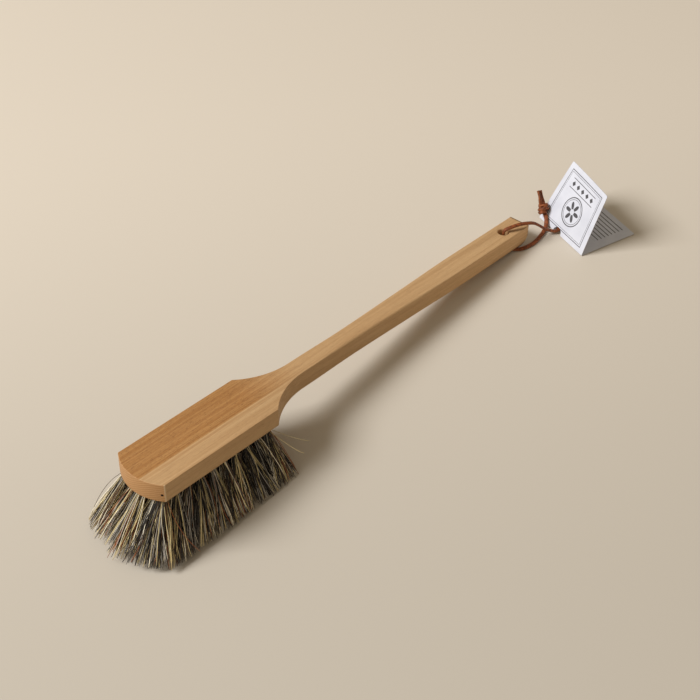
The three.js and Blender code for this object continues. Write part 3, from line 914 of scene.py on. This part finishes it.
# Distance from the front right vertical corner, which gets a painted highlight.
corner = distance(x_mm - HIGHLIGHT_CORNER_MM[0], y_mm - HIGHLIGHT_CORNER_MM[1])
pin = distance(y_mm - PIN_MM[0], z_mm - PIN_MM[1])
# Painted shade: inside the narrow pin hole, where no light reaches, the wood is coloured near-black.
pin_hole_shade = (1 - pin.smooth(0.85, 1.0)) * (1 - x_mm.smooth(*PIN_ENDS_MM))
print("grain nodes", len(beech.node_tree.nodes))

# %% Beech colours
PALE_BEECH = (rgb(0.478, 0.290, 0.137), rgb(0.550, 0.352, 0.176))
DARK_BEECH = (rgb(0.35, 0.160, 0.048), rgb(0.45, 0.232, 0.08))
SAWN_END = (rgb(0.40, 0.205, 0.078), rgb(0.475, 0.262, 0.112))
STREAK = rgb(0.26, 0.11, 0.036)
FLECK = rgb(0.17, 0.066, 0.022)
PALE_LINE = rgb(0.60, 0.385, 0.19)
DARK_LINE = rgb(0.38, 0.19, 0.07)
# Pale colour of the painted highlight on the front right vertical corner.
PAINTED_CORNER_HIGHLIGHT = rgb(0.78, 0.60, 0.38)
# Near-black painted shade for inside the pin hole.
PAINTED_PIN_SHADE = rgb(0.02, 0.012, 0.008)

band = bands.smooth(0.34, 0.66)
timber = heart.mix(band.mix(*PALE_BEECH), band.mix(*DARK_BEECH))
timber = (streaks.smooth(0.42, 0.75) * (0.22 + 0.3 * heart)).mix(timber, STREAK)
timber = (flecks * (0.18 + 0.42 * heart)).mix(timber, FLECK)
timber = (pale_line * 0.5).mix(timber, PALE_LINE)
timber = (dark_line * 0.3).mix(timber, DARK_LINE)
timber = end_face.mix(timber, rings.smooth(-1.0, 1.0).mix(*SAWN_END))
# Painted highlight: a pale line down the head's front right vertical corner, where the edge catches the
# light.
timber = (0.6 - corner.smooth(0.3, 0.8) * 0.6).mix(timber, PAINTED_CORNER_HIGHLIGHT)
# Painted shade inside the pin hole.
timber = pin_hole_shade.mix(timber, PAINTED_PIN_SHADE)
# Painted light: the handle's sides grow lighter towards its end, standing in for light bounced from the
# table.
lightness = 0.78 + fine * 0.44 + bounce_lit_side * x_mm.smooth(*PAINTED_BOUNCE_MM) * 0.3
connect(lightness.tint(timber), shader, "Base Color")
connect(0.46 + streaks * 0.16 + flecks * 0.1, shader, "Roughness")
connect_bump(fine * 0.5 - flecks * 0.6 + streaks * 0.4, shader, 0.35, 0.0002)
paint(wood, beech)
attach(wood, "brush")
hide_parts("brush_body")
print("beech on", wood.name)

# %% [markdown]
# ## The fibre field
# A boot brush is filled with a mix of plant fibres: near-black, grey, straw-coloured and rust. Each
# tuft is folded round a wire in its hole, so its fibres come out together and then fan apart. Hair
# particles can't be baked or printed, so each fibre is a thin four-sided rod. All rods of a bed share
# one mesh, worked out together, and each point keeps its fibre's kind, its place along the fibre and
# its shade for the finish to read.

# %% Fibre lines
FRONT_TIPS_AT = FIRST_COLUMN - 0.038
FRONT_DROP = 0.0486
SIDE_REACH = 0.026
CORNER_PULL = 0.0125
RIGHT_PULL = 0.009
FRONT_NARROW = 0.17
FIBRES_PER_TUFT = 88
TUFT_RADIUS = 0.0025
ROOT_DEPTH = 0.004
TUFT_LEAN = 0.0021
FIBRE_LEAN = 0.0022
RIGHT_FROM = -0.4 * HALF_FIELD
RIGHT_MESS = 2.1
# How far fibre kinds lean to dark ones on the right, as painted shade, and a little to pale ones on the
# left, as painted light.
RIGHT_PAINTED_SHADE = 1.8
LEFT_PAINTED_LIGHT = 0.95
FIELD_EDGE = 0.0006
SHORTER = 0.055
BEND = 0.0020
BULGE = 0.0015
WAVE = 0.0007
WILD_SHARE = 0.09
WILD_BEND = 0.0050
MOST_BENT = 1.6
FIBRE_RINGS = 9
FIBRE_SIDES = 4
THIN_FIBRE = 0.00021
THICK_FIBRE = 0.00042
TABLE_CLEAR = 0.0005
ROOT_GATHER = 0.9
BEND_AT = 0.45
WAVE_TURNS = 1.1
TIP_SPREAD = 0.0008
TIP_TAPER = 0.8
TIP_CUT = 0.6
FIBRE_SEED = 20
rng = np.random.default_rng(FIBRE_SEED)


def tips_of(x, y):
    """Where fibres that leave the wood at x, y would end: the field fans out evenly."""
    along = (x - FIRST_COLUMN) / (FIELD_REAR - FIRST_COLUMN)
    across = y / HALF_FIELD
    tip_x = FRONT_TIPS_AT + along * (REAR_TIPS_AT - FRONT_TIPS_AT)
    tip_x = tip_x + CORNER_PULL * across**2 * (1 - 2 * along)
    at_front = (1 - along) ** 2
    tip_x = tip_x + RIGHT_PULL * at_front * np.clip(-across, 0, 1)
    level = (tip_x - FRONT_TIPS_AT) / (REAR_TIPS_AT - FRONT_TIPS_AT)
    drop = FRONT_DROP + (REAR_DROP - FRONT_DROP) * level
    reach = SIDE_REACH * (1 - FRONT_NARROW * at_front)
    return np.stack([tip_x, y + across * reach, -THICKNESS - drop], axis=-1)


def in_row(lines):
    """Points of the board frame, in the row frame."""
    turn = np.array(board_to_row.to_3x3())
    return lines @ turn.T + np.array(board_to_row.to_translation())


def bowed(start, control, end, shares):
    """Points at shares of a curve that sets out for control and ends at end."""
    return start * (1 - shares) ** 2 + control * 2 * shares * (1 - shares) + end * shares**2


def fibre_lines(tuft_places):
    """The lines of all fibres of these tufts, in the row frame: fibre, ring, then x, y, z."""
    lean = rng.normal(0, TUFT_LEAN, (len(tuft_places), 2))
    middle = np.repeat(np.array(tuft_places), FIBRES_PER_TUFT, axis=0)
    count = len(middle)
    angle = rng.uniform(0, 2 * np.pi, count)
    out = TUFT_RADIUS * np.sqrt(rng.uniform(0, 1, count))
    offset = np.stack([out * np.cos(angle), out * np.sin(angle)], axis=-1)
    leave = np.column_stack([middle + offset, np.full(count, -THICKNESS)])
    root = np.column_stack([middle + offset * ROOT_GATHER, np.full(count, ROOT_DEPTH - THICKNESS)])
    stray = np.repeat(lean, FIBRES_PER_TUFT, axis=0) + rng.normal(0, FIBRE_LEAN, (count, 2))
    mess = np.where(middle[:, 1] < RIGHT_FROM, RIGHT_MESS, 1.0)
    aim = middle + offset + stray * mess[:, None]
    low = (FIRST_COLUMN - FIELD_EDGE, -HALF_FIELD - FIELD_EDGE)
    high = (FIELD_REAR + FIELD_EDGE, HALF_FIELD + FIELD_EDGE)
    aim = np.clip(aim, low, high)
    reach = 1 - np.abs(rng.normal(0, SHORTER, count))
    tip = leave + (tips_of(aim[:, 0], aim[:, 1]) - leave) * reach[:, None]
    wild = rng.uniform(0, 1, count) < WILD_SHARE * mess
    bend = np.clip(rng.normal(0, 1, (count, 3)), -MOST_BENT, MOST_BENT)
    bend *= np.where(wild, WILD_BEND, BEND)[:, None]
    control = leave + (tip - leave) * BEND_AT + bend
    control[:, 2] += BULGE
    shares = np.linspace(0, 1, FIBRE_RINGS - 1)[None, :, None]
    curve = bowed(leave[:, None], control[:, None], tip[:, None], shares)
    phase = rng.uniform(0, 2 * np.pi, (count, 1, 2))
    curve[:, :, :2] += WAVE * shares * np.sin(phase + shares * WAVE_TURNS * 2 * np.pi)
    lines = in_row(np.concatenate([root[:, None], curve], axis=1))
    lowest = TABLE_CLEAR + rng.uniform(0, TIP_SPREAD, count)[:, None]
    lines[:, :, 2] = np.maximum(lines[:, :, 2], lowest)
    # Painted shade: fibres on the right side draw darker kinds, standing in for the shade there; on the
    # left slightly paler ones.
    darker = np.where(middle[:, 1] < RIGHT_FROM, RIGHT_PAINTED_SHADE, LEFT_PAINTED_LIGHT)
    return lines, rng.uniform(0, 1, count) ** darker


print("fibres a tuft", FIBRES_PER_TUFT)

# %% Loose fibres
STRAW = 0.7
RUST = 0.98
STRAYS = {
    "front": [
        (RUST, (0.004, -0.0205, -0.0155), (0.0030, -0.0345, -0.0385), (0.0106, -0.0460, -0.0590)),
    ],
    "rear": [
        (STRAW, (0.1030, -0.0195, -0.0155), (0.1101, -0.0391, -0.0265), (0.1166, -0.0473, -0.0329)),
        (STRAW, (0.1035, -0.0190, -0.0155), (0.1140, -0.0374, -0.0211), (0.1240, -0.0465, -0.0260)),
    ],
}


def stray_fibres(curves):
    """Lines and kinds of single fibres, each given by a kind and three points of the board frame."""
    shares = np.linspace(0, 1, FIBRE_RINGS)[:, None]
    lines = []
    for _, *points in curves:
        leave, middle, tip = np.array(points)
        lines.append(in_row(bowed(leave, 2 * middle - (leave + tip) / 2, tip, shares)))
    return np.array(lines), np.array([kind for kind, *_ in curves])


print("loose fibres", sum(len(curves) for curves in STRAYS.values()))

# %% Fibre beds


def fibre_mesh(name, lines, kinds):
    """One mesh of rods along the lines, with each fibre's kind, run and shade on its points."""
    count = len(lines)
    ways = unit(np.gradient(lines, axis=1))
    side = unit(np.cross(ways, np.array([1.0, 0, 0])))
    front = np.cross(ways, side)
    thick = rng.uniform(THIN_FIBRE, THICK_FIBRE, count)[:, None] * np.linspace(1.0, TIP_TAPER, FIBRE_RINGS)
    thick[:, -1] *= TIP_CUT
    spin = rng.uniform(0, 2 * np.pi, count)
    rings = []
    for k in range(FIBRE_SIDES):
        angle = (spin + 2 * np.pi * k / FIBRE_SIDES)[:, None, None]
        rings.append(lines + thick[..., None] * (side * np.cos(angle) + front * np.sin(angle)))
    points = np.stack(rings, axis=2).reshape(-1, 3)
    first = np.arange(count)[:, None, None] * FIBRE_RINGS * FIBRE_SIDES
    ring = np.arange(FIBRE_RINGS - 1)[None, :, None] * FIBRE_SIDES
    corner = np.arange(FIBRE_SIDES)[None, None, :]
    after = (corner + 1) % FIBRE_SIDES
    a = first + ring + corner
    b = first + ring + after
    walls = np.stack([a, b, b + FIBRE_SIDES, a + FIBRE_SIDES], axis=-1).reshape(-1, 4)
    tip = first[:, 0] + (FIBRE_RINGS - 1) * FIBRE_SIDES + corner[0]
    base = first[:, 0] + corner[0][:, ::-1]
    faces = np.concatenate([walls, tip, base])
    kind = np.repeat(kinds, FIBRE_RINGS * FIBRE_SIDES)
    shade = np.repeat(rng.uniform(0, 1, count), FIBRE_RINGS * FIBRE_SIDES)
    run = np.tile(np.repeat(np.linspace(0, 1, FIBRE_RINGS), FIBRE_SIDES), count)
    marks = np.stack([kind, run, shade], axis=-1)
    made = mesh_object(name, points.tolist(), faces.tolist(), "fibre", marks)
    only(made)
    bpy.ops.object.shade_smooth()
    return made


COLUMNS_PER_BED = 5
beds = ("front", "mid_front", "mid_rear", "rear")
fibre_beds = []
for number, bed in enumerate(beds):
    column_of = [round((x - FIRST_COLUMN) / COLUMN_PITCH) for x, _ in tufts]
    own = [tuft for tuft, column in zip(tufts, column_of) if column // COLUMNS_PER_BED == number]
    lines, kinds = fibre_lines(own)
    if bed in STRAYS:
        stray_lines, stray_kinds = stray_fibres(STRAYS[bed])
        lines = np.concatenate([lines, stray_lines])
        kinds = np.concatenate([kinds, stray_kinds])
    fibre_beds.append(fibre_mesh(f"fibre_{bed}", lines, kinds))
print("fibres", len(tufts) * FIBRES_PER_TUFT)

# %% Fibre finish
FIBRE_MIX = [
    (0.0, rgb(0.024, 0.019, 0.016)),  # near-black
    (0.22, rgb(0.13, 0.080, 0.050)),  # brown
    (0.34, rgb(0.44, 0.41, 0.37)),  # grey
    (0.54, rgb(0.66, 0.54, 0.28)),  # straw
    (0.79, rgb(0.84, 0.77, 0.60)),  # pale straw
    (0.94, rgb(0.34, 0.11, 0.036)),  # rust
]

fibre_finish, shader, place = new_finish("plant_fibre", Specular_IOR_Level=0.4)
kind, run, shade = place.kept("fibre").parts()
colour = place.node("ValToRGB", None, {"Fac": kind})
ramp = colour.socket.node.color_ramp
ramp.interpolation = "CONSTANT"
while len(ramp.elements) < len(FIBRE_MIX):
    ramp.elements.new(1.0)
for element, (start, fibre_colour) in zip(ramp.elements, FIBRE_MIX):
    element.position = start
    element.color = fibre_colour
mottle = place.scaled(600, 600, 250).noise(2.0)
# Painted shade: each fibre is darker towards its root, deep in the field, and lighter towards its tip.
lightness = (0.55 + shade * 0.8) * (0.72 + run * 0.4) * (0.8 + mottle * 0.4)
connect(lightness.tint(colour), shader, "Base Color")
connect(0.38 + mottle * 0.25, shader, "Roughness")
for bed, piece in zip(beds, fibre_beds):
    paint(piece, fibre_finish)
    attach(piece, "brush")
    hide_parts(f"bristles_{bed}")
print("fibre finish on", [piece.name for piece in fibre_beds])

# %% [markdown]
# ## Wire anchors
# The anchors are the CAD solids: bent wires, deep in the tuft holes. Their shape is right, so they
# only get a drawn steel finish with fine lines along the wire.

# %% Anchor finish
STEEL = (rgb(0.42, 0.42, 0.41), rgb(0.6, 0.6, 0.58))

steel, shader, place = new_finish("drawn_wire", Metallic=1.0)
lines = place.scaled(3000, 3000, 400).noise(2.0)
connect(lines.smooth(0.3, 0.7).mix(*STEEL), shader, "Base Color")
connect(0.28 + lines * 0.2, shader, "Roughness")
anchors = [node for name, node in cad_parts.items() if name.startswith("tuft_anchor_")]
for node in anchors:
    paint(node, steel)
print("anchors", len(anchors))

# %% [markdown]
# ## The folded tag
# The tag is one card, printed, punched near the fold and folded once. A sheet of card is a grid with a
# thickness, so each leaf is a grid primitive with a Solidify modifier. The punched notch is a boolean
# cut. Card never lies quite flat: the front leaf is twisted, as it leans more at one end, and it gets a
# slow bulge. Before it is bent, each point keeps its place on the flat card, because a printer prints on
# flat card.

# %% Card leaves
TAG_FRONT_WIDTH = 0.06
TAG_BACK_WIDTH = 0.057
TAG_OPENING = math.radians(66.5)
TAG_TWIST = math.radians(-12.3)
TAG_NOTCH_RADIUS = 0.0055
TAG_CORNER = 0.0012
SPINE_GAP = 0.00028
CARD_THICK = 0.00042
CARD_CELLS = 30
CORNER_SEGMENTS = 4
NOTCH_SIDES = 32
NOTCH_CUT = 0.01
BULGE_NEAR_FOLD = 0.75
FRONT_BULGES = (0.0004, 0.0008)
BACK_BULGES = (0.0001, 0.0002)
CARD_ANGLE = 30


def card_leaf(name, width, opening, twist, bulges):
    """A punched leaf that rises from the fold by its opening: x runs along the fold, -y away from it."""
    leaf = added(bpy.ops.mesh.primitive_grid_add, x_subdivisions=CARD_CELLS,
                 y_subdivisions=CARD_CELLS, size=1)
    leaf.name = name
    for vertex in leaf.data.vertices:
        along = (vertex.co.x + 0.5) * TAG_SPINE
        out = SPINE_GAP + (0.5 - vertex.co.y) * (width - SPINE_GAP)
        vertex.co = (along, -out, 0)

    def on_corner(place):
        at_end = place.x < NEAR or place.x > TAG_SPINE - NEAR
        return at_end and place.y < NEAR - width

    bevel_where(leaf, on_corner, TAG_CORNER, CORNER_SEGMENTS, affect="VERTICES")
    apply_modifier(leaf, "SOLIDIFY", thickness=CARD_THICK, offset=0)
    cut(leaf, [cylinder(TAG_NOTCH_RADIUS, NOTCH_CUT, NOTCH_SIDES, (TAG_NOTCH_AT, 0, 0))])
    keep_on_points(leaf.data, "card", [tuple(vertex.co) for vertex in leaf.data.vertices])
    for vertex in leaf.data.vertices:
        end_share = vertex.co.x / TAG_SPINE
        out = -vertex.co.y
        out_share = min(1.0, max(0.0, out / width))
        bulge = bulges[0] + (bulges[1] - bulges[0]) * end_share
        up = vertex.co.z + bulge * math.sin(math.pi * out_share**BULGE_NEAR_FOLD)
        angle = opening + twist * end_share
        vertex.co.y = up * math.sin(angle) - out * math.cos(angle)
        vertex.co.z = out * math.sin(angle) + up * math.cos(angle)
    move(leaf, Matrix.Translation(SPINE_FOOT) @ Matrix.Rotation(TAG_TURN, 4, "Z"))
    smooth_by_angle(leaf, CARD_ANGLE)
    return leaf


back_leaf = card_leaf("card_back", TAG_BACK_WIDTH, 0.0, 0.0, BACK_BULGES)
front_leaf = card_leaf("card_front", TAG_FRONT_WIDTH, TAG_OPENING, TAG_TWIST, FRONT_BULGES)
print("card faces", len(front_leaf.data.polygons), len(back_leaf.data.polygons))

# %% [markdown]
# ## Card and print
# Uncoated white card is matt, a little uneven and darker along its cut edge. The print is a plain
# design of its own: a ruled frame, a six-petalled flower in two rings and a row of lozenges. It is drawn
# by distances, so each line is a thin band round zero and stays sharp at any size.

# %% Card finish
CARD = (rgb(0.60, 0.62, 0.70), rgb(0.66, 0.68, 0.76))
CARD_EDGE = rgb(0.52, 0.50, 0.49)
INK = rgb(0.035, 0.033, 0.036)


def line_at(offset, half_width):
    """1 within half a line's width of zero, with an edge that is soft over a tenth of a millimetre."""
    return 1 - abs(offset).smooth(half_width - 0.04, half_width + 0.06)


def within(offset, half):
    """1 up to half of a size on both sides of zero."""
    return 1 - abs(offset).smooth(half, half + 0.1)


def either(*masks):
    joined = masks[0]
    for mask in masks[1:]:
        joined = joined.math("MAXIMUM", mask)
    return joined


def card_finish(name, width, draw):
    """White card with ink where draw, a function of millimetres from the leaf's middle, gives 1."""
    finish, shader, place = new_finish(name, Specular_IOR_Level=0.3)
    card_place = place.kept("card").scaled(TO_MM, TO_MM, TO_MM)
    along, minus_out, height = card_place.parts()
    out = minus_out * -1
    felt = card_place.scaled(1.6, 1.6, 1.6).noise(3.0, 0.6)
    cloud = card_place.scaled(0.06, 0.06, 0.06).noise(2.0)
    paper = cloud.smooth(0.3, 0.7).mix(*CARD)
    spine_mm = TAG_SPINE * TO_MM
    width_mm = width * TO_MM
    rim = either(1 - along.smooth(0.1, 0.5), along.smooth(spine_mm - 0.5, spine_mm - 0.1),
                 out.smooth(width_mm - 0.6, width_mm - 0.1))
    paper = (rim * 0.3).mix(paper, CARD_EDGE)
    on_top = height.smooth(0.0, 0.1)
    ink = draw(along - spine_mm / 2, out - width_mm / 2) * on_top * (0.78 + felt * 0.3)
    connect(ink.mix(paper, INK), shader, "Base Color")
    connect(0.62 + felt * 0.16 - ink * 0.12, shader, "Roughness")
    connect_bump(felt, shader, 0.2, 0.0001)
    return finish


print("card colours", CARD[0][:3], INK[:3])

# %% Print
FRAME_HALF = (27, 25)
FLOWER_Y = -5
FLOWER_RINGS = (13, 11.2)
PETAL_REACH = 9.4
FLOWER_EYE = 2.6
ROW_Y = 15.5
ROW_HALF = 19.4
BARS_OUT = 4.4
LOZENGE = 2.5
LOZENGE_STEP = 3.9
RULE_STEP = 1.9
RULE_HALF = 23
RULES_Y = 8
RULES_HALF = 15.2
MARK_Y = -15


def front_print(x, y):
    """A ruled frame, a flower in two rings, and lozenges between bars."""
    edge = (abs(x) - FRAME_HALF[0]).math("MAXIMUM", abs(y) - FRAME_HALF[1])
    up = y - FLOWER_Y
    radius = distance(x, up)
    turn = up.math("ARCTAN2", x)
    petals = radius - abs((turn * 3).math("COSINE")) * PETAL_REACH
    flower = (1 - petals.smooth(-0.1, 0.1)) * radius.smooth(FLOWER_EYE, FLOWER_EYE + 0.1)
    lozenge = abs(x.math("WRAP", LOZENGE_STEP, -LOZENGE_STEP)) + abs(y - ROW_Y) - LOZENGE
    lozenges = (1 - lozenge.smooth(-0.1, 0.1)) * within(x, ROW_HALF)
    bars = line_at(abs(y - ROW_Y) - BARS_OUT, 0.3) * (1 - abs(x).smooth(ROW_HALF, ROW_HALF + 0.2))
    return either(line_at(edge, 0.32), line_at(edge + 1.7, 0.16), line_at(radius - FLOWER_RINGS[0], 0.45),
                  line_at(radius - FLOWER_RINGS[1], 0.2), flower, lozenges, bars)


def inside_print(x, y):
    """A block of blank rules and a mark of two rings."""
    rules = line_at(y.math("WRAP", RULE_STEP, -RULE_STEP), 0.42)
    rules = rules * within(x, RULE_HALF) * within(y - RULES_Y, RULES_HALF)
    radius = distance(x, y - MARK_Y)
    return either(rules, line_at(radius - 6, 0.3), line_at(radius - 3, 0.2))


for leaf, body, node, width, draw in (
    (front_leaf, "tag_leaf", "tag_front_leaf", TAG_FRONT_WIDTH, front_print),
    (back_leaf, "brush", "tag_back_leaf", TAG_BACK_WIDTH, inside_print),
):
    paint(leaf, card_finish(f"{leaf.name}_print", width, draw))
    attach(leaf, body)
    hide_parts(node)
print("printed", front_leaf.name, back_leaf.name)

# %% [markdown]
# ## Floor and light
# The object lies on a plain pale table whose colour carries painted light: it grows slowly paler towards
# the far side, as the light's falloff would make it. One window-sized soft light stands high on the left,
# so the right-hand sides fall into shade and the shadows are long with soft ends. A dim warm world fills
# them, as the walls of a room do.

# %% Floor
# The way across the table along which its colour gets a painted light falloff, paler towards the far side.
PAINTED_LIGHT_WAY = Vector((0.695, 0.719))
DARK_FROM = -0.32
PALE_FROM = 0.42
TABLE = (rgb(0.522, 0.475, 0.405), rgb(0.672, 0.605, 0.515))
TABLE_SIZE = 12

floor = added(bpy.ops.mesh.primitive_plane_add, size=TABLE_SIZE, location=(0, 0, 0))
floor.name = "floor"
table, shader, place = new_finish("pale_table", Specular_IOR_Level=0.2, Roughness=0.7)
x_place, y_place, _ = place.parts()
across_table = x_place * PAINTED_LIGHT_WAY.x + y_place * PAINTED_LIGHT_WAY.y
# Painted light falloff across the table.
painted_falloff = across_table.smooth(DARK_FROM, PALE_FROM)
connect(painted_falloff.mix(*TABLE), shader, "Base Color")
paint(floor, table)
print("table", floor.name)

# %% Light
KEY_WAY = Vector((-0.74, 0.58, 1.0)).normalized()
KEY_DISTANCE = 5.0
KEY_SIZE = 2.1
KEY_WATTS = 268
FILL = (0.34, 0.29, 0.22)

key_data = bpy.data.lights.new("key", "AREA")
key_data.shape = "SQUARE"
key_data.size = KEY_SIZE
key_data.energy = KEY_WATTS
key = new_object("key", key_data)
key_turn = KEY_WAY.to_track_quat("Z", "Y").to_matrix().to_4x4()
key.matrix_world = Matrix.Translation(KEY_WAY * KEY_DISTANCE) @ key_turn
world = bpy.data.worlds.new("room")
world.use_nodes = True
world.node_tree.nodes["Background"].inputs["Color"].default_value = rgb(*FILL)
bpy.context.scene.world = world
bpy.context.scene.view_settings.view_transform = "Standard"
print("key light watts", KEY_WATTS)
